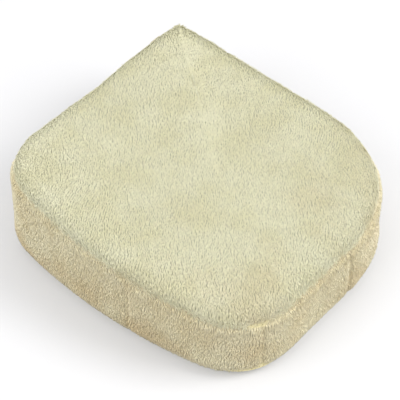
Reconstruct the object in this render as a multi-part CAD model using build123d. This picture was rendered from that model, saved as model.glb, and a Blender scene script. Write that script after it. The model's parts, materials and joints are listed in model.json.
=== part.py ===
from build123d import *
import math
import os

# A boxed plush wash mitt, lying on its back panel. Millimetres.
# +Z is up, +Y points to the cuff end where the hand goes in, +X to the right as seen from the finger end.
# The origin is on the underside of the back panel, halfway along the pad and on the hand's centre line.

# ---- Overall pad ----
pad_length = 250.0            # finger end to cuff end, along Y
cuff_end_width = 212.0        # across the cuff end
finger_end_width = 219.0      # across the finger end
cuff_end_thickness = 78.0     # back panel to washing face, at the cuff end
finger_end_thickness = 61.0   # the same at the finger end
left_side_bow = 20.0          # how far the left side bulges past a straight line

# Corner radii in plan.
cuff_right_radius = 11.0
cuff_left_radius = 34.0
finger_right_radius = 96.0
finger_left_radius = 44.0

# ---- Cover ----
top_panel_thickness = 8.0     # backing and pile
top_rim_radius = 7.0
back_panel_thickness = 6.0
back_rim_radius = 4.5
wall_thickness = 6.0

# Where the wall pieces are joined, as angles about the origin from +X, anticlockwise.
wall_joint_angles = {
    "cuff_right": 50.0,
    "cuff_left": 126.0,
    "left_side": 189.0,
    "front_corner": 232.0,
    "finger_end": 272.0,
}

# ---- Seams ----
seam_height = 1.0             # the gap that a seam holds open between panel and wall
seam_thread_inset = 3.6       # outer edge of the panel seam's thread, from the pad's side
seam_thread_width = 1.6
joint_thread_inset = 2.0      # the upright joints' threads, from the pad's side
joint_thread_depth = 1.2
joint_thread_width = 1.0

# ---- Hand pocket ----
pocket_width = 114.0          # outside the lining
pocket_depth = 195.0          # from the inner face of the cuff wall
pocket_height = 28.0          # clear height inside the lining
pocket_end_radius = 45.0
lining_thickness = 0.8
lining_seam_height = 0.8
fabric_clearance = 0.3        # between curved soft faces that lie against each other

# ---- Knit cuff ----
cuff_narrowing = 0.4          # the cuff's opening is this much narrower than the lined pocket
cuff_opening_height = 22.0
cuff_reach = 18.0             # how far it stands out of the cuff wall
cuff_floor_gap = 3.5          # from the back panel's inner face to the cuff's underside
cuff_ply = 1.1
cuff_channel = 1.0            # the room between the two plies
elastic_thickness = 0.8
elastic_width = 8.0
elastic_end_clearance = 0.2
topstitch_count = 44
topstitch_length = 3.0
topstitch_thickness = 0.6
topstitch_offset = 2.4        # from the cuff's outer face to the stitch line

# ---- Hanging loop ----
loop_centre_x = 80.0
loop_tape_width = 10.0
loop_tape_thickness = 1.0
loop_root_gap = 0.1           # half the gap between the plies where they leave the seam
loop_eye_radius = 4.5
loop_length = 38.0            # from the seam to the centre of the eye's round end
bartack_width = 8.0
bartack_depth = 3.4

# ---- Care label ----
label_centre_x = -40.0
label_width = 20.0
label_foot_gap = 3.1          # from the label's foot down to the cuff's stitches
label_thickness = 0.8
label_tack_width = 16.0

# ---- Worked out from the sizes above ----
cuff_wall_y = pad_length / 2
cuff_wall_inner_y = cuff_wall_y - wall_thickness
pocket_end_y = cuff_wall_inner_y - pocket_depth
lining_floor_z = back_panel_thickness + lining_thickness
lining_roof_z = lining_floor_z + pocket_height
foam_split_z = lining_roof_z + lining_thickness
cuff_wall_build = 2 * cuff_ply + cuff_channel
cuff_opening_width = pocket_width - 2 * lining_thickness - cuff_narrowing
cuff_centre_z = back_panel_thickness + cuff_floor_gap + cuff_wall_build + cuff_opening_height / 2
cuff_top_z = cuff_centre_z + cuff_opening_height / 2 + cuff_wall_build
stitches_top_z = cuff_top_z + topstitch_offset + topstitch_thickness / 2
top_seam_drop = top_panel_thickness + seam_height
bottom_seam_top = back_panel_thickness + seam_height
tallest = max(cuff_end_thickness, finger_end_thickness)
reach = pad_length + cuff_end_width + finger_end_width   # longer than any line across the pad
cut_past = 1.0                # how far a cut runs past the face that it opens


def pad_thickness(y):
    """Height of the washing face above the back, which slopes evenly from end to end."""
    share = 0.5 + y / pad_length
    return finger_end_thickness + (cuff_end_thickness - finger_end_thickness) * share


def pad_plan(inset):
    """The pad seen from above, moved in by inset: four sides, one of them bowed, and round corners."""
    cuff_half = cuff_end_width / 2
    finger_half = finger_end_width / 2
    cuff_left = Vector(-cuff_half, cuff_wall_y)
    finger_left = Vector(-finger_half, -cuff_wall_y)
    finger_right = Vector(finger_half, -cuff_wall_y)
    cuff_right = Vector(cuff_half, cuff_wall_y)
    side = finger_left - cuff_left
    outward = Vector(side.Y, -side.X).normalized() * left_side_bow
    bow_point = (cuff_left + finger_left) / 2 + outward
    sides = [
        ThreePointArc(cuff_left, bow_point, finger_left),
        Line(finger_left, finger_right),
        Line(finger_right, cuff_right),
        Line(cuff_right, cuff_left),
    ]
    plan = make_face(sides)
    radius_at = [
        (cuff_left, cuff_left_radius),
        (finger_left, finger_left_radius),
        (finger_right, finger_right_radius),
        (cuff_right, cuff_right_radius),
    ]
    for corner, radius in radius_at:
        nearest = plan.vertices().sort_by_distance(corner)[0]
        plan = fillet(nearest, radius)
    if inset > 0:
        plan = offset(plan, -inset, kind=Kind.INTERSECTION)
    return plan


def pad_prism(inset):
    """The pad's outline moved in by inset, as an upright block taller than the pad."""
    return extrude(pad_plan(inset), amount=tallest + cut_past)


def ring_prism(outer_inset, inner_inset):
    """An upright band that follows the pad's side, between two distances from it."""
    return pad_prism(outer_inset) - pad_prism(inner_inset)


def flat_layer(low_z, high_z):
    """All the room between two heights."""
    size = high_z - low_z
    return Pos(0, 0, low_z + size / 2) * Box(reach, reach, size)


def room_under_face(drop):
    """All the room above the ground and below the washing face lowered by drop."""
    half = reach / 2
    outline = Polyline(
        (-half, 0),
        (half, 0),
        (half, pad_thickness(half) - drop),
        (-half, pad_thickness(-half) - drop),
        close=True,
    )
    return extrude(Plane.YZ * make_face(outline), amount=half, both=True)


def sloping_layer(high_drop, low_drop):
    """All the room between the washing face lowered by high_drop and the same face lowered by low_drop."""
    return room_under_face(high_drop) - room_under_face(low_drop)


def sector(start_angle, end_angle):
    """An upright wedge of room about the origin between two angles."""
    steps = math.ceil((end_angle - start_angle) / 30)
    corners = [(0.0, 0.0)]
    for step in range(steps + 1):
        angle = math.radians(start_angle + (end_angle - start_angle) * step / steps)
        corners.append((reach * math.cos(angle), reach * math.sin(angle)))
    return extrude(make_face(Polyline(*corners, close=True)), amount=tallest)


def pocket_plan(inset, past_mouth=0.0):
    """The hand pocket seen from above: straight sides from the cuff wall and a rounded finger end."""
    half = pocket_width / 2 - inset
    mouth_y = cuff_wall_inner_y + past_mouth
    end_y = pocket_end_y + inset
    outline = Polyline((-half, mouth_y), (-half, end_y), (half, end_y), (half, mouth_y), close=True)
    plan = make_face(outline)
    end_corners = plan.vertices().sort_by(Axis.Y)[:2]
    return fillet(end_corners, pocket_end_radius - inset)


def pocket_prism(inset, low_z, high_z, past_mouth=0.0):
    """The pocket's outline moved in by inset, between two heights."""
    return Pos(0, 0, low_z) * extrude(pocket_plan(inset, past_mouth), amount=high_z - low_z)


def oval_prism(grow, start_y, end_y):
    """A round-ended oval bar along Y: the cuff's opening grown by grow on every side."""
    height = cuff_opening_height + 2 * grow
    width = cuff_opening_width + 2 * grow
    section = Plane.XZ * SlotOverall(width, height)
    bar = extrude(section, amount=-(end_y - start_y))
    return Pos(0, start_y, cuff_centre_z) * bar


def oval_tube(inner_grow, outer_grow, start_y, end_y):
    """The wall between two such ovals."""
    bore = oval_prism(inner_grow, start_y - cut_past, end_y + cut_past)
    return oval_prism(outer_grow, start_y, end_y) - bore


# ---- Cover ----
def make_top_panel():
    slab = pad_prism(0) & sloping_layer(0, top_panel_thickness)
    upward = slab.faces().filter_by(lambda face: face.normal_at().Z > 0.5)
    return fillet(upward.edges(), top_rim_radius)


def make_back_panel():
    slab = pad_prism(0) & flat_layer(0, back_panel_thickness)
    underside = slab.faces().sort_by(Axis.Z)[0]
    return fillet(underside.edges(), back_rim_radius)


def make_joint_thread(angle):
    band = ring_prism(joint_thread_inset, joint_thread_inset + joint_thread_depth)
    strip = Rot(0, 0, angle) * Pos(reach / 2, 0, tallest / 2) * Box(reach, joint_thread_width, tallest)
    return band & strip & wall_layer


def make_wall(start_name, end_name):
    start = wall_joint_angles[start_name]
    end = wall_joint_angles[end_name]
    if end < start:
        end += 360
    wall = wall_ring & sector(start, end)
    for thread in joint_threads:
        wall = wall - thread
    return wall


def make_cuff_wall():
    hole = oval_prism(
        cuff_wall_build + fabric_clearance,
        cuff_wall_inner_y - cut_past,
        cuff_wall_y + cut_past,
    )
    return make_wall("cuff_right", "cuff_left") - hole


def make_panel_seam(band_layer):
    return ring_prism(seam_thread_inset, seam_thread_inset + seam_thread_width) & band_layer


# ---- Filling and pocket lining ----
def make_foam_slab():
    block = pad_prism(wall_thickness + fabric_clearance) & room_under_face(top_panel_thickness)
    return block - flat_layer(0, foam_split_z)


def make_foam_surround():
    block = pad_prism(wall_thickness + fabric_clearance) & flat_layer(back_panel_thickness, foam_split_z)
    return block - pocket_prism(-fabric_clearance, 0, foam_split_z, past_mouth=wall_thickness)


def make_lining_upper():
    foot_z = lining_floor_z + lining_seam_height
    outer = pocket_prism(0, foot_z, foam_split_z)
    return outer - pocket_prism(lining_thickness, 0, lining_roof_z, past_mouth=wall_thickness)


def make_lining_lower():
    return pocket_prism(0, back_panel_thickness, lining_floor_z)


def make_lining_seam():
    outer = pocket_prism(0, lining_floor_z, lining_floor_z + lining_seam_height)
    return outer - pocket_prism(lining_thickness, 0, foam_split_z, past_mouth=wall_thickness)


# ---- Knit cuff ----
def make_knit_cuff():
    end_y = cuff_wall_y + cuff_reach
    sleeve = oval_tube(0, cuff_wall_build, cuff_wall_inner_y, end_y)
    channel = oval_tube(cuff_ply, cuff_ply + cuff_channel, cuff_wall_inner_y - cut_past, end_y - cuff_ply)
    return sleeve - channel


def make_cuff_elastic():
    end_y = cuff_wall_y + cuff_reach - cuff_ply - elastic_end_clearance
    inner = cuff_ply + (cuff_channel - elastic_thickness) / 2
    return oval_tube(inner, inner + elastic_thickness, end_y - elastic_width, end_y)


def make_cuff_topstitch():
    grow = cuff_wall_build + topstitch_offset
    line = SlotOverall(cuff_opening_width + 2 * grow, cuff_opening_height + 2 * grow).wire()
    stitches = []
    for number in range(topstitch_count):
        share = (number + 0.5) / topstitch_count
        place = line.position_at(share)
        along = line.tangent_at(share)
        turn = math.degrees(math.atan2(along.Y, along.X))
        stitch = Box(topstitch_length, topstitch_thickness, topstitch_thickness)
        centre_y = cuff_wall_y + topstitch_thickness / 2
        stitches.append(Pos(place.X, centre_y, cuff_centre_z + place.Y) * Rot(0, -turn, 0) * stitch)
    return Compound(children=stitches)


# ---- Hanging loop and label ----
def seam_axis_z():
    """Height of the top seam's middle at the cuff wall."""
    return cuff_end_thickness - top_panel_thickness - seam_height / 2


def make_hang_loop():
    root_radius = loop_root_gap + loop_tape_thickness
    round_radius = loop_eye_radius + loop_tape_thickness
    root_y = cuff_wall_y + fabric_clearance + root_radius
    round_y = cuff_wall_y + fabric_clearance + round_radius
    root = (root_y, seam_axis_z())
    round_end = (round_y, seam_axis_z() - loop_length)
    outer_circles = [Pos(*root) * Circle(root_radius), Pos(*round_end) * Circle(round_radius)]
    eye_circles = [Pos(*root) * Circle(loop_root_gap), Pos(*round_end) * Circle(loop_eye_radius)]
    outer = make_hull(Sketch(children=outer_circles).edges())
    eye = make_hull(Sketch(children=eye_circles).edges())
    band = extrude(Plane.YZ * (outer - eye), amount=loop_tape_width / 2, both=True)
    return Pos(loop_centre_x, 0, 0) * band


def make_care_label():
    centre_y = cuff_wall_y + fabric_clearance + label_thickness / 2
    top_z = seam_axis_z() + label_thickness / 2
    foot_z = stitches_top_z + label_foot_gap
    tab = Box(label_width, label_thickness, top_z - foot_z)
    return Pos(label_centre_x, centre_y, (top_z + foot_z) / 2) * tab


def make_bartack(centre_x, width):
    """A block of thread that fills the top seam's gap in the cuff wall."""
    room = sloping_layer(top_panel_thickness, top_seam_drop)
    block = Pos(centre_x, cuff_wall_y - bartack_depth / 2, tallest / 2) * Box(width, bartack_depth, tallest)
    return block & room


# ---- Build every piece ----
wall_layer = room_under_face(top_seam_drop) - flat_layer(0, bottom_seam_top)
wall_ring = ring_prism(0, wall_thickness) & wall_layer
joint_threads = [make_joint_thread(angle) for angle in wall_joint_angles.values()]
top_seam_layer = sloping_layer(top_panel_thickness, top_seam_drop)
bottom_seam_layer = flat_layer(back_panel_thickness, bottom_seam_top)

pieces = {
    "top_panel": make_top_panel(),
    "back_panel": make_back_panel(),
    "wall_cuff": make_cuff_wall(),
    "wall_left": make_wall("cuff_left", "left_side"),
    "wall_front_corner": make_wall("left_side", "front_corner"),
    "wall_finger_end": make_wall("front_corner", "finger_end"),
    "wall_right": make_wall("finger_end", "cuff_right"),
    "wall_joint_threads": Compound(children=joint_threads),
    "top_seam_thread": make_panel_seam(top_seam_layer),
    "bottom_seam_thread": make_panel_seam(bottom_seam_layer),
    "foam_slab": make_foam_slab(),
    "foam_surround": make_foam_surround(),
    "lining_upper": make_lining_upper(),
    "lining_lower": make_lining_lower(),
    "lining_seam_thread": make_lining_seam(),
    "knit_cuff": make_knit_cuff(),
    "cuff_elastic": make_cuff_elastic(),
    "cuff_topstitch": make_cuff_topstitch(),
    "hang_loop": make_hang_loop(),
    "hang_loop_bartack": make_bartack(loop_centre_x, bartack_width),
    "care_label": make_care_label(),
    "label_bartack": make_bartack(label_centre_x, label_tack_width),
}

os.makedirs("parts", exist_ok=True)
for name, piece in pieces.items():
    export_step(piece, f"parts/{name}.step")
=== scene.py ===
import json
import math

import bpy
import numpy as np
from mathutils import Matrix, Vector


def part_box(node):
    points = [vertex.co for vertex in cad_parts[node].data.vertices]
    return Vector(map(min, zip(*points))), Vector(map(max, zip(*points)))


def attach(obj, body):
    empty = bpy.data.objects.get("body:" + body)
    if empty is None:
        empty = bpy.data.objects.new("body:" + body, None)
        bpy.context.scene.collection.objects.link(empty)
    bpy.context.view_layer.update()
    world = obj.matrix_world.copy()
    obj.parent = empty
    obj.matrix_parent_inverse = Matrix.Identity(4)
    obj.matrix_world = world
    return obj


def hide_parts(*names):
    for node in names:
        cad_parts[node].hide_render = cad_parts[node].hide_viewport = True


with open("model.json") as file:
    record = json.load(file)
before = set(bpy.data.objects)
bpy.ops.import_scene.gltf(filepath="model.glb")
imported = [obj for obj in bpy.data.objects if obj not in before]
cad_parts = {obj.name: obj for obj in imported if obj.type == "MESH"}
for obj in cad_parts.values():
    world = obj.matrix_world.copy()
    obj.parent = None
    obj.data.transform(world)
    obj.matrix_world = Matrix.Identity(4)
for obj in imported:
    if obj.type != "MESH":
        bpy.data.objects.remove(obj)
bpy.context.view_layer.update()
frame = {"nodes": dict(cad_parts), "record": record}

# A boxed plush wash mitt lying on its back panel. Metres; +Z up, +Y towards the cuff end.
MM = 0.001

# ---- Places that the frame gives ----
pad_low, pad_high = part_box("top_panel")
cuff_low, cuff_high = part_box("knit_cuff")
wall_low, wall_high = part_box("wall_cuff")
loop_low, loop_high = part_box("hang_loop")
label_low, label_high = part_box("care_label")
pad_length = pad_high.y - pad_low.y
cuff_wall_y = pad_high.y
cuff_centre_z = (cuff_low.z + cuff_high.z) / 2
cuff_oval_half_width = (cuff_high.x - cuff_low.x) / 2
cuff_oval_half_height = (cuff_high.z - cuff_low.z) / 2

# ---- The pad's own shape ----
cuff_half_width = 106.5 * MM
finger_half_width = 109.8 * MM
cuff_end_height = 80.0 * MM
finger_end_height = 60.0 * MM
side_bows = {"left": 18.7 * MM, "finger": -2.0 * MM, "right": -2.0 * MM, "cuff": 0.0}
corner_cuts = {
    "cuff_left": 37 * MM,
    "finger_left": 48 * MM,
    "finger_right": 107 * MM,
    "cuff_right": 11 * MM,
}
corner_fullness = 0.85            # 0.71 is a true arc at a square corner, and more stands further out
top_rim = 11.0 * MM
back_rim = 13.0 * MM
pile_depth = 1.3 * MM             # how far the cover's cloth lies inside the pad's own shape
back_pile_depth = 1.0 * MM
joint_angles = {                  # the upright joints, in degrees round the pad's middle
    "cuff_right": 50.0,
    "cuff_left": 126.0,
    "left_side": 189.0,
    "front_corner": 232.0,
    "finger_end": 272.0,
}
wall_panels = [                   # each wall piece, and the joints it runs between
    ("wall_cuff", "cuff_right", "cuff_left"),
    ("wall_left", "cuff_left", "left_side"),
    ("wall_front_corner", "left_side", "front_corner"),
    ("wall_finger_end", "front_corner", "finger_end"),
    ("wall_right", "finger_end", "cuff_right"),
]

# ---- The cover's grid ----
around_count = 176                # columns round the pad, before they are divided
back_seam_row = 18                # rows of the two panel seams, before they are divided
top_seam_row = 30
fine_rows = 4                     # how many parts each step along the rows and the columns is divided into
fine_columns = 3

# ---- Seams and stitches ----
top_crease = 1.3 * MM
back_crease = 1.2 * MM
joint_crease = 1.4 * MM
deepest_crease = 1.5 * MM         # the foam lies just under the cloth
seam_lift = 0.3 * MM              # the seams' thread above the cloth
seam_stitch = {"thickness": 0.7 * MM, "arch": 0.3 * MM}
seam_pitch = 4.6 * MM
seam_share = 0.75                 # a stitch's share of its pitch
topstitch_offset = 2.4 * MM       # from the cuff's side out to its stitches
topstitch_lift = 0.4 * MM
topstitch = {"thickness": 0.8 * MM, "arch": 0.5 * MM}
topstitch_pitch = 5.9 * MM
topstitch_share = 0.6
topstitch_samples = 44 * 12

# ---- Pile: spacings, and the length, width and rise of a tuft ----
face_pile_spacing = 0.92 * MM
wall_pile_spacing = 1.05 * MM
back_pile_spacing = 2.0 * MM
face_tuft = (4.6 * MM, 0.72 * MM, 0.36)
wall_tuft = (4.0 * MM, 0.9 * MM, 0.5)
cuff_wall_tuft = (2.6 * MM, 1.15 * MM, 0.45)
back_tuft = (2.6 * MM, 1.5 * MM, 0.5)
most_tufts = 19000                # in one piece, so that it stays under 200,000 triangles
nap_heading = math.radians(-50.7)    # the way the face is brushed, from -Y
nap_direction = np.array([math.sin(nap_heading), -math.cos(nap_heading), 0.0])

# ---- Knit cuff and tape ----
cuff_wall_build = 3.2 * MM        # both plies of the cuff and the room between them
rib_count = 88
rib_depth = 0.32 * MM
mouth_wave = 0.7 * MM
mouth_flare = 1.2 * MM
tape_thickness = 1.0 * MM
tape_root_radius = 0.55 * MM
label_curl = 2.5 * MM


# ======================================================================================
# Arrays and meshes
# ======================================================================================
def cubic_along(points, places, closed):
    """Rows of points read at fractional row numbers.

    The cubic is the Catmull-Rom one through the four nearest rows.
    """
    count = len(points)
    base = np.floor(places).astype(int)
    t = (places - base).reshape((-1,) + (1,) * (points.ndim - 1))
    rows = [base - 1, base, base + 1, base + 2]
    if closed:
        rows = [row % count for row in rows]
    else:
        rows = [np.clip(row, 0, count - 1) for row in rows]
    before, here, after, beyond = (points[row] for row in rows)
    slope = after - before
    bend = 2 * before - 5 * here + 4 * after - beyond
    twist = 3 * here - before - 3 * after + beyond
    return here + 0.5 * t * (slope + t * (bend + t * twist))


def refine(grid, along_rows, along_columns):
    """A grid of points with its rows and its closed columns divided, by cubics in each direction."""
    rows = np.linspace(0, len(grid) - 1, (len(grid) - 1) * along_rows + 1)
    grid = cubic_along(grid, rows, closed=False)
    columns = np.arange(grid.shape[1] * along_columns) / along_columns
    return np.swapaxes(cubic_along(np.swapaxes(grid, 0, 1), columns, closed=True), 0, 1)


def grid_normals(grid, closed):
    """Unit normals of a grid: the cross product of the steps along its columns and along its rows."""
    if closed:
        across = np.roll(grid, -1, axis=1) - np.roll(grid, 1, axis=1)
    else:
        across = np.gradient(grid, axis=1)
    along = np.gradient(grid, axis=0)
    normal = np.cross(across, along)
    return normal / np.maximum(np.linalg.norm(normal, axis=2, keepdims=True), 1e-12)


def smooth_noise(points, size, seed, octaves=2):
    """Smooth noise about 0: sine waves in random directions, of half the size and weight each octave."""
    source = np.random.default_rng(seed)
    total = np.zeros(points.shape[:-1])
    weight = 1.0
    for octave in range(octaves):
        for wave in range(6):
            direction = source.normal(size=points.shape[-1])
            direction *= 2 * math.pi / (size * source.uniform(0.8, 1.6) * np.linalg.norm(direction))
            total += weight * np.sin(points @ direction + source.uniform(0, 2 * math.pi)) / 3
        size /= 2.1
        weight /= 2
    return total


def quad_faces(row_count, column_count, close_rows=False, close_columns=False, first=0):
    """The corner numbers of a grid's quads, wrapping round where it closes."""
    rows = np.arange(row_count if close_rows else row_count - 1)
    columns = np.arange(column_count if close_columns else column_count - 1)
    row, column = np.meshgrid(rows, columns, indexing="ij")
    next_row = (row + 1) % row_count
    next_column = (column + 1) % column_count
    corners = [
        row * column_count + column,
        row * column_count + next_column,
        next_row * column_count + next_column,
        next_row * column_count + column,
    ]
    return np.stack(corners, axis=-1).reshape(-1, 4) + first


def new_mesh(name, points, faces, material, uv=None, attributes=None, smooth=True):
    """A mesh object at the origin from arrays of corners and of quads or triangles."""
    mesh = bpy.data.meshes.new(name)
    sides = faces.shape[1]
    mesh.vertices.add(len(points))
    mesh.vertices.foreach_set("co", np.ascontiguousarray(points, dtype=np.float32).ravel())
    mesh.loops.add(faces.size)
    mesh.loops.foreach_set("vertex_index", faces.astype(np.int32).ravel())
    mesh.polygons.add(len(faces))
    mesh.polygons.foreach_set("loop_start", np.arange(0, faces.size, sides, dtype=np.int32))
    mesh.polygons.foreach_set("use_smooth", np.full(len(faces), smooth))
    if uv is not None:
        layer = mesh.uv_layers.new(name=uv[0])
        layer.data.foreach_set("uv", np.ascontiguousarray(uv[1], dtype=np.float32).ravel())
    for key, values in (attributes or {}).items():
        mesh.attributes.new(key, "FLOAT", "POINT").data.foreach_set("value", values.astype(np.float32))
    mesh.update()
    mesh.validate()
    mesh.materials.append(material)
    piece = bpy.data.objects.new(name, mesh)
    bpy.context.scene.collection.objects.link(piece)
    return piece


def finish_piece(piece, body, stands_for=()):
    """The piece tied to its body, with the nodes that it stands for hidden."""
    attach(piece, body)
    if stands_for:
        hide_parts(*stands_for)


# ======================================================================================
# Materials
# ======================================================================================
class Value:
    """A number that a shader works out, with Python's arithmetic adding the Math nodes."""

    def __init__(self, shader, socket):
        self.shader = shader
        self.socket = socket

    def combine(self, operation, first, second):
        return self.shader.node("ShaderNodeMath", {"operation": operation}, {0: first, 1: second}).out()

    def __add__(self, other):
        return self.combine("ADD", self, other)

    __radd__ = __add__

    def __mul__(self, other):
        return self.combine("MULTIPLY", self, other)

    def __truediv__(self, other):
        return self.combine("DIVIDE", self, other)

    def between(self, low, high):
        """0 below low, 1 above high, and smooth between them."""
        settings = {"interpolation_type": "SMOOTHSTEP"}
        places = {"Value": self, "From Min": low, "From Max": high}
        return self.shader.node("ShaderNodeMapRange", settings, places).out("Result")


class Made:
    """A node just added, and its outputs as values."""

    def __init__(self, shader, node):
        self.shader = shader
        self.node = node

    def out(self, name=0):
        return Value(self.shader, self.node.outputs[name])


class Shader:
    """A material's nodes, ending in one Principled surface."""

    def __init__(self, name, roughness=0.9, sheen=0.0, sheen_roughness=0.5, specular=0.2):
        self.material = bpy.data.materials.new(name)
        self.material.use_nodes = True
        self.tree = self.material.node_tree
        self.surface = self.tree.nodes["Principled BSDF"]
        self.surface.inputs["Roughness"].default_value = roughness
        self.surface.inputs["Sheen Weight"].default_value = sheen
        self.surface.inputs["Sheen Roughness"].default_value = sheen_roughness
        self.surface.inputs["Specular IOR Level"].default_value = specular
        self.place = self.node("ShaderNodeTexCoord").out("Object")

    def node(self, kind, settings=None, inputs=None):
        node = self.tree.nodes.new(kind)
        for key, value in (settings or {}).items():
            setattr(node, key, value)
        for key, value in (inputs or {}).items():
            if isinstance(value, Value):
                self.tree.links.new(value.socket, node.inputs[key])
            else:
                node.inputs[key].default_value = value
        return Made(self, node)

    def noise(self, scale, detail=3.0, stretch=None, turn=0.0, roughness=0.55, place=None):
        """Noise from 0 to 1 over the piece, longer along Y where it is stretched and turned about Z."""
        place = place or self.place
        if stretch is not None:
            inputs = {"Vector": place, "Rotation": (0.0, 0.0, turn), "Scale": stretch}
            place = self.node("ShaderNodeMapping", {"vector_type": "TEXTURE"}, inputs).out()
        inputs = {"Vector": place, "Scale": scale, "Detail": detail, "Roughness": roughness}
        return self.node("ShaderNodeTexNoise", None, inputs).out(0)

    def waves(self, direction, scale, distortion=0.0):
        """Even bands from 0 to 1 across one direction."""
        inputs = {"Vector": self.place, "Scale": scale, "Distortion": distortion}
        return self.node("ShaderNodeTexWave", {"bands_direction": direction}, inputs).out("Fac")

    def attribute(self, name):
        return self.node("ShaderNodeAttribute", {"attribute_name": name}).out("Fac")

    def height(self):
        """The Z coordinate on the piece."""
        return self.node("ShaderNodeSeparateXYZ", None, {0: self.place}).out("Z")

    def mix(self, amount, first, second, blend="MIX"):
        """Two colours mixed by an amount, or blended in another way by it."""
        settings = {"data_type": "RGBA", "blend_type": blend}
        return self.node("ShaderNodeMix", settings, {0: amount, 6: first, 7: second}).out(2)

    def shade(self, color, factor):
        """A colour made lighter or darker by a factor about 1."""
        grey = self.node("ShaderNodeCombineColor", None, {0: factor, 1: factor, 2: factor}).out()
        return self.mix(1.0, color, grey, blend="MULTIPLY")

    def color(self, value):
        self.tree.links.new(value.socket, self.surface.inputs["Base Color"])

    def roughness(self, value):
        self.tree.links.new(value.socket, self.surface.inputs["Roughness"])

    def bump(self, height, distance, strength=1.0):
        inputs = {"Height": height, "Distance": distance, "Strength": strength}
        normal = self.node("ShaderNodeBump", None, inputs).out()
        self.tree.links.new(normal.socket, self.surface.inputs["Normal"])


def linear(red, green, blue):
    """A colour given from 0 to 255 as it looks, as the shader's linear numbers."""
    parts = np.array([red, green, blue]) / 255
    light = np.where(parts <= 0.04045, parts / 12.92, ((parts + 0.055) / 1.055) ** 2.4)
    return (*light.tolist(), 1.0)


def plush_material(name, light, dark, painted_shade, painted_shade_low, painted_shade_high):
    """Backing and pile of short plush: cloudy patches, fine brushed streaks, and a tan painted shade that
    darkens it towards the bottom, broken into noisy patches.
    """
    shader = Shader(name, roughness=0.95, sheen=0.12, sheen_roughness=0.6, specular=0.12)
    patches = shader.noise(38.0, detail=4.0)
    streaks = shader.noise(900.0, detail=2.0, stretch=(1.0, 5.0, 1.0), turn=nap_heading)
    color = shader.mix(patches.between(0.35, 0.7), light, dark)
    # painted shade: the colour turns tan towards the bottom of each panel, in noisy patches
    low_down = shader.height().between(painted_shade_high, painted_shade_low)
    painted_shade_mask = shader.noise(17.0, detail=5.0).between(0.42, 0.72) * low_down
    color = shader.mix(painted_shade_mask * 0.55, color, painted_shade)
    # tone gives each tuft a random tone of its own, and paints shade on the cloth under the pile
    tone_and_shade = shader.attribute("tone_and_shade")
    along = shader.attribute("along")
    # painted shade: each tuft darker towards its root and lighter towards its tip, by along
    color = shader.shade(color, 0.88 + tone_and_shade * 0.10 + along * 0.12)
    shader.color(color)
    shader.bump(streaks, 0.4 * MM, 0.5)
    return shader.material


def thread_material(name, color):
    """Twisted sewing thread: a fine slanting twist and a slight sheen."""
    shader = Shader(name, roughness=0.6, sheen=0.2, specular=0.3)
    twist = shader.waves("DIAGONAL", 900.0)
    shader.color(shader.shade(color, 0.88 + twist * 0.16))
    shader.bump(twist, 0.08 * MM)
    return shader.material


def knit_material(name, color, shadow):
    """Rib knit: rows of small loops over the ribs, and a darker valley between them."""
    shader = Shader(name, roughness=0.85, sheen=0.15, specular=0.15)
    loops = shader.waves("Y", 330.0, distortion=1.5)
    fuzz = shader.noise(1500.0)
    valley = shader.attribute("valley")
    tint = shader.mix(valley, color, shadow)
    shader.color(shader.shade(tint, 0.86 + loops * 0.10 + fuzz * 0.08))
    shader.bump(loops * 0.7 + fuzz * 0.4, 0.25 * MM, 0.8)
    return shader.material


def woven_material(name, color, shadow, scale=700.0):
    """Plain weave: warp and weft threads crossing, with a slightly uneven dye."""
    shader = Shader(name, roughness=0.8, sheen=0.1, specular=0.2)
    warp = shader.waves("X", scale)
    weft = shader.waves("Z", scale)
    fill = shader.waves("Y", scale)
    cloth = (warp + weft + fill) / 3
    dye = shader.noise(60.0)
    shader.color(shader.shade(shader.mix(dye, color, shadow), 0.85 + cloth * 0.2))
    shader.bump(cloth, 0.12 * MM)
    return shader.material


def foam_material(name, color, shadow):
    """Open-cell sponge foam: small dark pores in a pale block."""
    shader = Shader(name, roughness=0.95, specular=0.1)
    inputs = {"Vector": shader.place, "Scale": 700.0}
    pores = shader.node("ShaderNodeTexVoronoi", None, inputs).out("Distance")
    shader.color(shader.mix(pores.between(0.1, 0.45), shadow, color))
    shader.bump(pores, 0.3 * MM)
    return shader.material


def elastic_material(name, color):
    """Braided elastic: fine ridges along the band."""
    shader = Shader(name, roughness=0.6, specular=0.3)
    ridges = shader.waves("Y", 500.0)
    shader.color(shader.shade(color, 0.85 + ridges * 0.2))
    shader.bump(ridges, 0.15 * MM)
    return shader.material


def satin_material(name, color):
    """Woven satin ribbon: smooth, with fine threads along its length."""
    shader = Shader(name, roughness=0.45, sheen=0.1, specular=0.35)
    threads = shader.noise(1200.0, stretch=(1.0, 1.0, 12.0))
    shader.color(shader.shade(color, 0.92 + threads * 0.1))
    shader.roughness(0.38 + threads * 0.2)
    shader.bump(threads, 0.05 * MM)
    return shader.material


# In each plush the third colour and the two heights after it give a painted shade, tan towards the bottom
top_plush = plush_material(
    "washing_plush",
    light=linear(243, 241, 213),
    dark=linear(238, 235, 202),
    painted_shade=linear(220, 200, 156),
    painted_shade_low=50 * MM,
    painted_shade_high=72 * MM,
)
wall_plush = plush_material(
    "wall_plush",
    light=linear(247, 239, 206),
    dark=linear(240, 228, 190),
    painted_shade=linear(222, 196, 148),
    painted_shade_low=5 * MM,
    painted_shade_high=66 * MM,
)
back_plush = plush_material(
    "back_plush",
    light=linear(232, 226, 194),
    dark=linear(222, 213, 178),
    painted_shade=linear(206, 186, 142),
    painted_shade_low=0.0,
    painted_shade_high=8 * MM,
)
seam_thread = thread_material("seam_thread", linear(176, 146, 100))
rib_knit = knit_material("rib_knit", linear(228, 220, 190), linear(176, 160, 120))
woven_tape = woven_material("woven_tape", linear(222, 210, 176), linear(206, 190, 150))
lining_cloth = woven_material("lining_cloth", linear(228, 224, 208), linear(214, 208, 190), scale=900.0)
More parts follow.
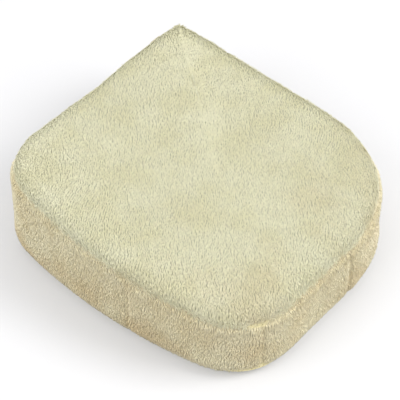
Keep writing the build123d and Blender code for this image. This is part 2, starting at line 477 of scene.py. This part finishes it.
sponge_foam = foam_material("sponge_foam", linear(236, 226, 178), linear(176, 160, 110))
braided_elastic = elastic_material("braided_elastic", linear(232, 230, 222))
label_satin = satin_material("label_satin", linear(240, 240, 236))


# ======================================================================================
# The pad's outline and its sewn cover
# ======================================================================================
def pad_outline(count):
    """The pad from above as evenly spaced points and outward normals, from near the cuff's right corner.

    Each side is a straight line plus its bow times 4 t (1 - t). Each corner is a rational quadratic curve
    between the two sides' cut ends, pulled towards the crossing of their tangents by corner_fullness.
    """
    corners = {
        "cuff_right": np.array([cuff_half_width, pad_length / 2]),
        "cuff_left": np.array([-cuff_half_width, pad_length / 2]),
        "finger_left": np.array([-finger_half_width, -pad_length / 2]),
        "finger_right": np.array([finger_half_width, -pad_length / 2]),
    }
    names = list(corners)
    stretches = []
    for index, side in enumerate(["cuff", "left", "finger", "right"]):
        start = corners[names[index]]
        end = corners[names[(index + 1) % 4]]
        run = end - start
        span = np.linalg.norm(run)
        outward = np.array([run[1], -run[0]]) / span
        first = corner_cuts[names[index]] / span
        last = 1 - corner_cuts[names[(index + 1) % 4]] / span
        t = np.linspace(first, last, 60)[:, None]
        stretches.append(start + t * run + outward * side_bows[side] * 4 * t * (1 - t))
    outline = []
    for index, stretch in enumerate(stretches):
        following = stretches[(index + 1) % 4]
        outline.append(stretch)
        leave = stretch[-1] - stretch[-2]
        enter = following[0] - following[1]
        reach = np.linalg.solve(np.column_stack([leave, -enter]), following[0] - stretch[-1])[0]
        peak = stretch[-1] + reach * leave
        t = np.linspace(0, 1, 42)[1:-1, None]
        pull = 2 * corner_fullness * t * (1 - t)
        weights = (1 - t) ** 2 + pull + t**2
        outline.append(((1 - t) ** 2 * stretch[-1] + pull * peak + t**2 * following[0]) / weights)
    outline = np.vstack(outline)
    steps = np.linalg.norm(np.roll(outline, -1, axis=0) - outline, axis=1)
    travelled = np.concatenate([[0], np.cumsum(steps)])
    closed = np.vstack([outline, outline[:1]])
    wanted = np.arange(count) / count * travelled[-1]
    points = np.column_stack([np.interp(wanted, travelled, closed[:, axis]) for axis in (0, 1)])
    tangent = np.roll(points, -1, axis=0) - np.roll(points, 1, axis=0)
    normal = np.column_stack([tangent[:, 1], -tangent[:, 0]])
    return points, normal / np.linalg.norm(normal, axis=1, keepdims=True)


def pad_height(y):
    """Height of the face's cloth, which slopes evenly from the cuff end to the finger end."""
    top = finger_end_height + (cuff_end_height - finger_end_height) * (0.5 + y / pad_length)
    return top - pile_depth


def cover_form():
    """The filled cover: rows of points from the middle of the back to the middle of the face.

    A row is the outline moved in by an inset and raised to a height. The rims are quarter circles, the wall
    is upright, and on the back and the face the rim's row shrinks evenly towards the middle.
    """
    outline, normal = pad_outline(around_count)
    outline = outline - normal * pile_depth

    def row(inset, height, shrink=1.0):
        flat = (outline - normal * inset) * shrink
        cloth = np.maximum(height(flat[:, 1]), back_pile_depth)
        return np.column_stack([flat, cloth])

    rows = []
    for shrink in np.linspace(0.0, 0.97, 16):
        rows.append(row(back_rim, lambda y: 0 * y, shrink))
    for turn in np.linspace(0, math.pi / 2, 4):
        inset = back_rim * (1 - math.sin(turn))
        rise = back_rim * (1 - math.cos(turn))
        rows.append(row(inset, lambda y, rise=rise: 0 * y + rise))
    for share in np.linspace(0, 1, 11)[1:-1]:
        rows.append(
            row(0, lambda y, share=share: back_rim + share * (pad_height(y) - top_rim - back_rim))
        )
    for turn in np.linspace(0, math.pi / 2, 5):
        inset = top_rim * (1 - math.cos(turn))
        rise = top_rim * (1 - math.sin(turn))
        rows.append(row(inset, lambda y, rise=rise: pad_height(y) - rise))
    for shrink in np.linspace(0.97, 0.0, 22):
        rows.append(row(top_rim, pad_height, shrink))
    return np.stack(rows)


cover = refine(cover_form(), fine_rows, fine_columns)
cover_rows, cover_columns = cover.shape[:2]
back_seam = back_seam_row * fine_rows
top_seam = top_seam_row * fine_rows


def angle_round(points):
    """Angles of points round the pad's middle, in degrees from 0 to 360."""
    return np.degrees(np.arctan2(points[..., 1], points[..., 0])) % 360


def angle_between(first, second):
    return np.abs((first - second + 180) % 360 - 180)


def sink_seams(grid):
    """The cover drawn in along its seams, with low soft lumps elsewhere.

    The depth falls off as exp(-(distance / width)^2) on each side of a seam. Along the top seam it varies by
    smooth noise, with deeper dimples here and there where the stitches pull tighter.
    """
    normal = grid_normals(grid, closed=True)
    row = np.arange(cover_rows)[:, None]
    seam_line = grid[top_seam]
    dimples = np.clip(smooth_noise(seam_line, 34 * MM, 5), 0, 1)
    pucker = 1 + 0.35 * smooth_noise(seam_line, 12 * MM, 3) + 0.9 * dimples
    spacing = np.linalg.norm(grid[top_seam + 1] - grid[top_seam - 1], axis=1).mean() / 2
    from_top_seam = (row - top_seam) * spacing
    depth = top_crease * pucker * np.exp(-((from_top_seam / (2.6 * MM)) ** 2))
    from_back_seam = (row - back_seam) * spacing
    depth = depth + back_crease * np.exp(-((from_back_seam / (2.2 * MM)) ** 2))
    angle = angle_round(seam_line)
    radius = np.hypot(seam_line[:, 0], seam_line[:, 1])
    on_wall = ((row > back_seam - 6) & (row < top_seam + 1)).astype(float)
    for joint in joint_angles.values():
        away = angle_between(angle, joint) * math.pi / 180 * radius
        depth = depth + joint_crease * np.exp(-((away / (2.4 * MM)) ** 2)) * on_wall
    depth = np.minimum(depth, deepest_crease)
    lumps = 0.5 * MM * smooth_noise(grid, 45 * MM, 11)
    above_back = np.clip((row - back_seam) / 12, 0, 1)
    return grid - normal * depth[..., None] + normal * (lumps * above_back)[..., None]


cover = sink_seams(cover)
cover[..., 2] = np.maximum(cover[..., 2], back_pile_depth)
cover_normals = grid_normals(cover, closed=True)
closed_cover = np.concatenate([cover, cover[:, :1]], axis=1)
closed_normals = np.concatenate([cover_normals, cover_normals[:, :1]], axis=1)
seam_angle = angle_round(cover[top_seam])


# ======================================================================================
# Pile
# ======================================================================================
def scatter(grid, normals, spacing, seed):
    """Even places on a grid of points, about one spacing apart, with the surface's normal at each.

    A low-discrepancy pair picks the row by the rows' areas and the column by the areas along that row.
    """
    source = np.random.default_rng(seed)
    across = np.linalg.norm(grid[:-1, 1:] - grid[:-1, :-1], axis=2)
    along = np.linalg.norm(grid[1:, :-1] - grid[:-1, :-1], axis=2)
    area = across * along
    count = int(area.sum() / spacing**2)
    number = np.arange(count)
    first = (0.5 + number * 0.7548776662466927) % 1
    second = (0.5 + number * 0.5698402909980532) % 1
    row_total = np.concatenate([[0], np.cumsum(area.sum(axis=1))])
    row_place = np.interp(first * row_total[-1], row_total, np.arange(len(row_total)))
    row = np.minimum(row_place.astype(int), len(area) - 1)
    running = np.concatenate([np.zeros((len(area), 1)), np.cumsum(area, axis=1)], axis=1)
    running /= np.maximum(running[:, -1:], 1e-12)
    stacked = (running + np.arange(len(area))[:, None]).ravel()
    column_numbers = np.tile(np.arange(running.shape[1]), len(area))
    column_place = np.interp(row + second * 0.999999, stacked, column_numbers)
    column = np.minimum(column_place.astype(int), area.shape[1] - 1)
    down = (row_place - row)[:, None]
    right = (column_place - column)[:, None]

    def read(values):
        upper = values[row, column] * (1 - right) + values[row, column + 1] * right
        lower = values[row + 1, column] * (1 - right) + values[row + 1, column + 1] * right
        return upper * (1 - down) + lower * down

    root = read(grid)
    normal = read(normals)
    normal /= np.linalg.norm(normal, axis=1, keepdims=True)
    root = root + source.normal(scale=spacing * 0.28, size=root.shape)
    root = root - normal * np.sum((root - read(grid)) * normal, axis=1, keepdims=True)
    return root, normal


def tufts(root, normal, lean, length, width, rise, seed):
    """Tufts of pile as closed three-sided spikes with one bend.

    A tuft rises from its root along the normal and bends over along the lean. Its half-way ring is at
    0.45 length up its first direction, and its tip further on along its second, lower one.
    """
    source = np.random.default_rng(seed)
    count = len(root)
    size = source.uniform(0.88, 1.1, count)[:, None]
    stray = source.normal(scale=0.13, size=(count, 3))
    sweep = lean + stray
    sweep = sweep - normal * np.sum(sweep * normal, axis=1, keepdims=True)
    first = normal * rise + sweep * 0.9
    first /= np.linalg.norm(first, axis=1, keepdims=True)
    second = normal * rise * 0.15 + sweep + stray * 0.3
    second /= np.linalg.norm(second, axis=1, keepdims=True)
    middle = root + first * length * 0.45 * size
    tip = middle + second * length * 0.6 * size
    side = np.cross(first, normal + stray * 0.01)
    side /= np.maximum(np.linalg.norm(side, axis=1, keepdims=True), 1e-9)
    face = np.cross(side, first)
    rings = []
    for centre, half in ((root - normal * 0.4 * MM, 0.5), (middle, 0.42)):
        for turn in (90, 210, 330):
            angle = math.radians(turn)
            offset = side * math.cos(angle) + face * math.sin(angle) * 0.6
            rings.append(centre + offset * width * half * size)
    points = np.stack([*rings, tip], axis=1).reshape(-1, 3)
    lower = [(0, 1, 4), (0, 4, 3), (1, 2, 5), (1, 5, 4), (2, 0, 3), (2, 3, 5)]
    upper = [(3, 4, 6), (4, 5, 6), (5, 3, 6)]
    foot = [(0, 2, 1)]
    faces = (np.arange(count)[:, None, None] * 7 + np.array(lower + upper + foot)).reshape(-1, 3)
    return points, faces


def tuft_map(count):
    """Each tuft's own small cell of the texture, its root at the cell's foot and its tip at the top."""
    cells = math.ceil(math.sqrt(count))
    number = np.arange(count)
    corner = np.column_stack([number % cells, number // cells]) / cells
    root_ring = [(0.15, 0.1), (0.5, 0.1), (0.85, 0.1)]
    middle_ring = [(0.15, 0.5), (0.5, 0.5), (0.85, 0.5)]
    shape = np.array([*root_ring, *middle_ring, (0.5, 0.9)])
    return corner[:, None, :] + shape / cells


def add_pile(name, root, normal, lean, shape, material, seed):
    """Pile on one panel, in as many pieces as keep each under its share of faces.

    shape is a tuft's length, width and rise.
    """
    source = np.random.default_rng(seed)
    share = math.ceil(len(root) / most_tufts)
    for part in range(share):
        chosen = slice(part, None, share)
        points, faces = tufts(root[chosen], normal[chosen], lean[chosen], *shape, seed + part)
        count = len(points) // 7
        cell = tuft_map(count).reshape(-1, 2)
        attributes = {
            # a random tone for each tuft
            "tone_and_shade": np.repeat(source.uniform(0, 1, count), 7),
            # along runs from 0 at a tuft's root to 1 at its tip; the plush paints shade towards the root
            "along": np.tile([0.0, 0.0, 0.0, 0.6, 0.6, 0.6, 1.0], count),
        }
        uv = ("OFBake", cell[faces.ravel()])
        piece = new_mesh(f"{name}_{part + 1}", points, faces, material, uv, attributes)
        finish_piece(piece, "mitt")


def oval_distance(x, z):
    """Distance from the cuff's oval, negative inside it.

    It is the distance from a level line segment, less the radius of the oval's ends.
    """
    past_end = np.maximum(np.abs(x) - (cuff_oval_half_width - cuff_oval_half_height), 0)
    return np.hypot(past_end, z - cuff_centre_z) - cuff_oval_half_height


def joint_column(name):
    """The cover's column that lies nearest to an upright joint."""
    return int(np.argmin(angle_between(seam_angle, joint_angles[name])))


def add_cloth(name, grid, stands_for, material, keep=None, closed=False):
    """One panel of the cover's cloth, with the quads that keep leaves."""
    faces = quad_faces(grid.shape[0], grid.shape[1], close_columns=closed)
    if keep is not None:
        faces = faces[keep.ravel()]
    count = grid.shape[0] * grid.shape[1]
    # the cloth's tone of -2 is painted shade: the shade that lies under the pile
    attributes = {"tone_and_shade": np.full(count, -2.0), "along": np.zeros(count)}
    piece = new_mesh(name, grid.reshape(-1, 3), faces, material, attributes=attributes)
    finish_piece(piece, "mitt", [stands_for])


def add_face_panel():
    """The washing face from the top seam to its middle, and its brushed pile."""
    rows = slice(top_seam, None)
    add_cloth("washing_face", cover[rows], "top_panel", top_plush, closed=True)
    root, normal = scatter(closed_cover[rows], closed_normals[rows], face_pile_spacing, 21)
    lean = np.tile(nap_direction, (len(root), 1))
    add_pile("washing_pile", root, normal, lean, face_tuft, top_plush, 31)


def add_back_panel():
    """The panel that the mitt lies on, with a short pile pressed flat."""
    rows = slice(0, back_seam + 1)
    add_cloth("back_cover", cover[rows], "back_panel", back_plush, closed=True)
    root, normal = scatter(closed_cover[rows], closed_normals[rows], back_pile_spacing, 23)
    lean = np.tile(nap_direction, (len(root), 1))
    normal = normal * np.array([1.0, 1.0, 0.35])
    root[:, 2] = np.maximum(root[:, 2], back_pile_depth)
    add_pile("back_pile", root, normal, lean, back_tuft, back_plush, 33)


def cut_hand_opening(grid):
    """The cuff wall's grid with its nearest points moved onto the cuff's oval, and the quads outside it."""
    away = oval_distance(grid[..., 0], grid[..., 2])
    step = 0.1 * MM
    slope_x = (oval_distance(grid[..., 0] + step, grid[..., 2]) - away) / step
    slope_z = (oval_distance(grid[..., 0], grid[..., 2] + step) - away) / step
    near = np.abs(away) < 0.95 * MM
    grid[..., 0] -= np.where(near, away * slope_x, 0)
    grid[..., 2] -= np.where(near, away * slope_z, 0)
    away = oval_distance(grid[..., 0], grid[..., 2])
    keep = (away[:-1, :-1] + away[1:, :-1] + away[:-1, 1:] + away[1:, 1:]) > 0
    return grid, keep


def clear_of_fittings(root):
    """Which roots on the cuff wall keep clear of the cuff, its stitches, the loop and the label."""
    away = oval_distance(root[:, 0], root[:, 2])
    clear = (away > 0.8 * MM) & (np.abs(away - topstitch_offset) > 0.9 * MM)
    for low, high in ((loop_low, loop_high), (label_low, label_high)):
        across = np.abs(root[:, 0] - (low.x + high.x) / 2) < (high.x - low.x) / 2 + 0.6 * MM
        beside = (root[:, 2] > low.z - 1.0 * MM) & (root[:, 2] < high.z)
        clear &= ~(across & beside)
    return clear


def add_wall_panel(name, start, end, seed):
    """One wall panel between two upright joints, and its pile."""
    first = joint_column(start)
    last = joint_column(end)
    if last <= first:
        last += cover_columns
    columns = np.arange(first, last + 1) % cover_columns
    grid = cover[back_seam : top_seam + 1][:, columns].copy()
    keep = None
    if name == "wall_cuff":
        grid, keep = cut_hand_opening(grid)
    add_cloth(f"{name}_cloth", grid, name, wall_plush, keep=keep)
    rows = slice(back_seam, top_seam + 4)
    root, normal = scatter(cover[rows][:, columns], cover_normals[rows][:, columns], wall_pile_spacing, seed)
    shape = wall_tuft
    if name == "wall_cuff":
        clear = clear_of_fittings(root)
        root = root[clear]
        normal = normal[clear]
        shape = cuff_wall_tuft
    lean = np.tile(np.array([0.0, 0.0, -1.0]), (len(root), 1)) + 0.35 * nap_direction
    add_pile(f"{name}_pile", root, normal, lean, shape, wall_plush, seed)


add_face_panel()
add_back_panel()
for number, (panel, start, end) in enumerate(wall_panels):
    add_wall_panel(panel, start, end, 50 + 7 * number)


# ======================================================================================
# Threads
# ======================================================================================
def stitch_mesh(name, start, end, outward, thickness, arch, stands_for):
    """A run of stitches, each a short rounded rope that arches out of the cloth.

    The centre line is straight from start to end plus arch times 4 s (1 - s) outwards, and the radius shrinks
    to nothing at the ends as the eighth power of the distance from the middle.
    """
    rings = 7
    sides = 6
    s = np.linspace(0, 1, rings)[None, :, None]
    along = end - start
    side = np.cross(along, outward)
    side /= np.linalg.norm(side, axis=1, keepdims=True)
    centre = start[:, None] + along[:, None] * s + outward[:, None] * arch * 4 * s * (1 - s)
    radius = thickness / 2 * np.sqrt(np.maximum(1 - (2 * s - 1) ** 8, 0.0004))
    turn = np.arange(sides) * 2 * math.pi / sides
    circle = outward[:, None] * np.cos(turn)[None, :, None] + side[:, None] * np.sin(turn)[None, :, None]
    points = centre[:, :, None, :] + radius[..., None] * circle[:, None]
    one = quad_faces(rings, sides, close_columns=True)
    faces = (np.arange(len(start))[:, None, None] * rings * sides + one).reshape(-1, 4)
    piece = new_mesh(name, points.reshape(-1, 3), faces[:, ::-1], seam_thread)
    finish_piece(piece, "mitt", [stands_for])


def run_stitches(line, outward, pitch, share):
    """Starts, ends and outward directions of even stitches along a line of points."""
    steps = np.linalg.norm(np.diff(line, axis=0), axis=1)
    travelled = np.concatenate([[0], np.cumsum(steps)])
    count = int(travelled[-1] / pitch)
    begin = (np.arange(count) + 0.5 - share / 2) * travelled[-1] / count
    finish = begin + share * travelled[-1] / count

    def read(values, places):
        return np.column_stack([np.interp(places, travelled, values[:, axis]) for axis in range(3)])

    direction = read(outward, (begin + finish) / 2)
    direction /= np.linalg.norm(direction, axis=1, keepdims=True)
    return read(line, begin), read(line, finish), direction


def add_seam_threads():
    """The panel seams' stitches, lying in the creases, and the upright joints' stitches."""
    for name, row in (("top_seam_thread", top_seam), ("bottom_seam_thread", back_seam)):
        line = closed_cover[row] + closed_normals[row] * seam_lift
        start, end, outward = run_stitches(line, closed_normals[row], seam_pitch, seam_share)
        stitch_mesh(f"{name}_stitches", start, end, outward, **seam_stitch, stands_for=name)
    runs = []
    rows = slice(back_seam + 4, top_seam - 3)
    for joint in joint_angles:
        column = joint_column(joint)
        outward = cover_normals[rows, column]
        line = cover[rows, column] + outward * seam_lift
        runs.append(run_stitches(line, outward, seam_pitch, seam_share))
    start, end, outward = (np.vstack(parts) for parts in zip(*runs))
    stitch_mesh("wall_joint_stitches", start, end, outward, **seam_stitch, stands_for="wall_joint_threads")


def oval_line(grow, count):
    """Evenly spaced points and outward normals round the cuff's outer oval grown by grow, in X and Z."""
    radius = cuff_oval_half_height + grow
    flat = cuff_oval_half_width - cuff_oval_half_height
    turn = np.linspace(-math.pi / 2, math.pi / 2, 60)
    right = np.column_stack([flat + radius * np.cos(turn), radius * np.sin(turn)])
    left = -right
    loop = np.vstack([right, left, right[:1]])
    steps = np.linalg.norm(np.diff(loop, axis=0), axis=1)
    travelled = np.concatenate([[0], np.cumsum(steps)])
    wanted = np.arange(count) / count * travelled[-1]
    points = np.column_stack([np.interp(wanted, travelled, loop[:, axis]) for axis in (0, 1)])
    ends = np.sign(points[:, 0]) * np.minimum(np.abs(points[:, 0]), flat)
    normal = points - np.column_stack([ends, np.zeros(count)])
    return points, normal / np.linalg.norm(normal, axis=1, keepdims=True)


def add_cuff_topstitch():
    """The stitches round the hand opening."""
    points, normal = oval_line(topstitch_offset, topstitch_samples)
    y = np.full(topstitch_samples, cuff_wall_y - pile_depth + topstitch_lift)
    line = np.column_stack([points[:, 0], y, points[:, 1] + cuff_centre_z])
    line = np.vstack([line, line[:1]])
    outward = np.tile(np.array([0.0, 1.0, 0.0]), (len(line), 1))
    start, end, outward = run_stitches(line, outward, topstitch_pitch, topstitch_share)
    stitch_mesh("cuff_topstitch_run", start, end, outward, **topstitch, stands_for="cuff_topstitch")


# ======================================================================================
# Knit cuff, hanging loop and label
# ======================================================================================
def add_knit_cuff():
    """The folded rib-knit cuff: the oval carried out, round the fold and back inside.

    Its ribs are cosine waves round the oval, and its mouth waves in and out a little.
    """
    columns = rib_count * 8
    oval, normal = oval_line(0.0, columns)
    fold = cuff_wall_build / 2
    inner_y = wall_low.y + wall_high.y - cuff_wall_y - pile_depth
    out = np.linspace(0, 1, 16)
    reach = cuff_high.y - fold - inner_y
    turn = np.linspace(0, math.pi, 9)[1:-1]
    along = np.concatenate([out * reach, reach + fold * np.sin(turn), out[::-1] * reach]) + inner_y
    inset = np.concatenate([0 * out, fold - fold * np.cos(turn), 0 * out + cuff_wall_build])
    turns = np.arange(columns) / columns * 2 * math.pi
    rib = np.cos(turns * rib_count)
    mouth = mouth_wave * (np.sin(turns * 5) - 1)
    share = np.clip((along - inner_y) / reach, 0, 1)
    outward = np.where(inset < fold, 1.0, -1.0)
    rise = rib_depth * (rib[None] - 0.6) * outward[:, None]
    flare = mouth_flare * share**2
    offset = rise - inset[:, None] + flare[:, None]
    x = oval[:, 0] + normal[:, 0] * offset
    z = oval[:, 1] + normal[:, 1] * offset + cuff_centre_z
    y = along[:, None] + mouth[None] * share[:, None] ** 2
    points = np.stack([x, y, z], axis=-1)
    faces = quad_faces(len(along), columns, close_rows=True, close_columns=True)
    valley = np.broadcast_to((1 - rib) / 2, x.shape).ravel()
    attributes = {"valley": valley}
    piece = new_mesh("rib_knit_cuff", points.reshape(-1, 3), faces[:, ::-1], rib_knit, attributes=attributes)
    finish_piece(piece, "mitt", ["knit_cuff"])


def band_points(path, side, width, thickness, closed):
    """A flat band with round edges: a superellipse of the width and thickness, carried along a path."""
    corners = 20
    if closed:
        tangent = np.roll(path, -1, axis=0) - np.roll(path, 1, axis=0)
    else:
        tangent = np.gradient(path, axis=0)
    across = np.cross(tangent, side)
    across /= np.linalg.norm(across, axis=1, keepdims=True)
    turn = np.arange(corners) * 2 * math.pi / corners
    wide = np.sign(np.cos(turn)) * np.abs(np.cos(turn)) ** 0.35 * width / 2
    high = np.sign(np.sin(turn)) * np.abs(np.sin(turn)) ** 0.6 * thickness / 2
    points = path[:, None] + side * wide[None, :, None] + across[:, None] * high[None, :, None]
    if not closed:
        ends = np.repeat(path[[0, -1]][:, None], corners, axis=1)
        points = np.concatenate([ends[:1], points, ends[1:]])
    return points


def even_path(path, count, closed):
    """A path's points spaced evenly."""
    loop = np.vstack([path, path[:1]]) if closed else path
    steps = np.linalg.norm(np.diff(loop, axis=0), axis=1)
    travelled = np.concatenate([[0], np.cumsum(steps)])
    wanted = np.linspace(0, travelled[-1], count, endpoint=not closed)
    return np.column_stack([np.interp(wanted, travelled, loop[:, axis]) for axis in range(3)])


def joint_place(name):
    """Where the named joint's axis is, from the record."""
    found = [joint for joint in frame["record"]["behaviour"]["joints"] if joint["name"] == name]
    return np.array(found[0]["pos_m"])


def add_hang_loop():
    """The woven tape: straight down by the wall, round the eye and back up to its root at the seam."""
    root = joint_place("hang_loop_swing")
    eye = (loop_high.y - loop_low.y) / 2 - tape_thickness / 2
    middle_y = (loop_low.y + loop_high.y) / 2
    round_centre = np.array([root[0], middle_y, loop_low.z + eye + tape_thickness / 2])
    lean = math.atan2(round_centre[1] - root[1], root[2] - round_centre[2])
    lift = math.asin((eye - tape_root_radius) / np.linalg.norm(round_centre - root))
    outer = lean - lift
    inner = lean + lift + math.pi
    lower = np.linspace(inner, outer + 2 * math.pi, 60)
    upper = np.linspace(outer, inner, 30)
    arcs = []
    for centre, radius, turn in ((round_centre, eye, lower), (root, tape_root_radius, upper)):
        arcs.append(centre + radius * np.column_stack([0 * turn, np.cos(turn), np.sin(turn)]))
    path = even_path(np.vstack(arcs), 120, closed=True)
    side = np.array([1.0, 0.0, 0.0])
    points = band_points(path, side, loop_high.x - loop_low.x, tape_thickness, closed=True)
    faces = quad_faces(points.shape[0], points.shape[1], close_rows=True, close_columns=True)
    piece = new_mesh("hanging_tape", points.reshape(-1, 3), faces, woven_tape)
    finish_piece(piece, "loop", ["hang_loop"])


def add_care_label():
    """The blank label: a ribbon folded in two that hangs from the seam, its foot curled out a little."""
    thick = label_high.y - label_low.y
    ply = thick * 0.42
    middle = (label_low.y + label_high.y) / 2
    gap = (thick - ply) / 2
    down = np.linspace(0, 1, 24)
    turn = np.linspace(0, math.pi, 9)[1:-1]
    length = label_high.z - label_low.z - thick / 2
    y = np.concatenate([0 * down + gap, gap * np.cos(turn), 0 * down - gap])
    z = np.concatenate([-down * length, -length - gap * np.sin(turn), -down[::-1] * length])
    curl = label_curl * np.clip(-z / length, 0, 1) ** 2
    centre_x = (label_low.x + label_high.x) / 2
    path = np.column_stack([0 * y + centre_x, middle + y + curl, label_high.z + z])
    side = np.array([1.0, 0.0, 0.0])
    points = band_points(path, side, label_high.x - label_low.x, ply, closed=False)
    faces = quad_faces(points.shape[0], points.shape[1], close_columns=True)
    piece = new_mesh("blank_label", points.reshape(-1, 3), faces, label_satin)
    finish_piece(piece, "label", ["care_label"])


add_seam_threads()
add_cuff_topstitch()
add_knit_cuff()
add_hang_loop()
add_care_label()

carried_over = {
    "foam_slab": sponge_foam,
    "foam_surround": sponge_foam,
    "lining_upper": lining_cloth,
    "lining_lower": lining_cloth,
    "lining_seam_thread": seam_thread,
    "cuff_elastic": braided_elastic,
    "hang_loop_bartack": seam_thread,
    "label_bartack": seam_thread,
}
for node, material in carried_over.items():
    slots = frame["nodes"][node].data.materials
    slots.clear()
    slots.append(material)


# ======================================================================================
# Stage
# ======================================================================================
def make_floor():
    """A wide pale floor that glows a little to the camera, so that it shows white with a soft shadow."""
    half = 6.0
    drop = -0.3 * MM
    corners = np.array([(-half, -half, drop), (half, -half, drop), (half, half, drop), (-half, half, drop)])
    shader = Shader("floor", roughness=1.0, specular=0.0)
    shader.surface.inputs["Base Color"].default_value = linear(206, 206, 208)
    camera_ray = shader.node("ShaderNodeLightPath").out("Is Camera Ray")
    glow = shader.node("ShaderNodeEmission", None, {"Color": (1, 1, 1, 1), "Strength": 0.22})
    both = shader.node("ShaderNodeAddShader")
    choose = shader.node("ShaderNodeMixShader", None, {0: camera_ray})
    link = shader.tree.links.new
    link(shader.surface.outputs[0], both.node.inputs[0])
    link(glow.node.outputs[0], both.node.inputs[1])
    link(shader.surface.outputs[0], choose.node.inputs[1])
    link(both.node.outputs[0], choose.node.inputs[2])
    link(choose.node.outputs[0], shader.tree.nodes["Material Output"].inputs["Surface"])
    floor = new_mesh("floor", corners, np.array([[0, 1, 2, 3]]), shader.material, smooth=False)


def make_world(strength):
    """An even white sky."""
    world = bpy.data.worlds.new("studio")
    bpy.context.scene.world = world
    world.use_nodes = True
    background = world.node_tree.nodes["Background"]
    background.inputs["Color"].default_value = (1, 1, 1, 1)
    background.inputs["Strength"].default_value = strength


def add_lamp(name, place, aim, size, power):
    """A square soft lamp at a place, turned towards an aim."""
    data = bpy.data.lights.new(name, "AREA")
    data.shape = "SQUARE"
    data.size = size
    data.energy = power
    lamp = bpy.data.objects.new(name, data)
    lamp.location = place
    lamp.rotation_euler = (Vector(aim) - Vector(place)).to_track_quat("-Z", "Y").to_euler()
    bpy.context.scene.collection.objects.link(lamp)


def add_camera(azimuth, elevation, distance, target, lens):
    """A camera on a sphere round its target. Azimuth 0 looks along +Y."""
    heading = math.radians(azimuth)
    rise = math.radians(elevation)
    level = Vector((math.sin(heading), -math.cos(heading), 0.0))
    back = level * math.cos(rise) + Vector((0.0, 0.0, math.sin(rise)))
    data = bpy.data.cameras.new("camera")
    data.lens = lens
    data.sensor_width = 36.0
    camera = bpy.data.objects.new("camera", data)
    camera.location = Vector(target) + back * distance
    camera.rotation_euler = back.to_track_quat("Z", "Y").to_euler()
    bpy.context.scene.collection.objects.link(camera)
    bpy.context.scene.camera = camera


view_target = (-12.6 * MM, 5.1 * MM, 38.0 * MM)
lamp_target = (0, 0, 30 * MM)
make_floor()
make_world(0.80)
add_lamp("key", (0.9, -1.5, 1.6), lamp_target, size=1.2, power=34)
add_lamp("fill", (-1.6, 0.4, 1.2), lamp_target, size=1.5, power=15)
add_camera(azimuth=-50.7, elevation=44.7, distance=1.5, target=view_target, lens=180.0)
bpy.context.scene.view_settings.view_transform = "Standard"
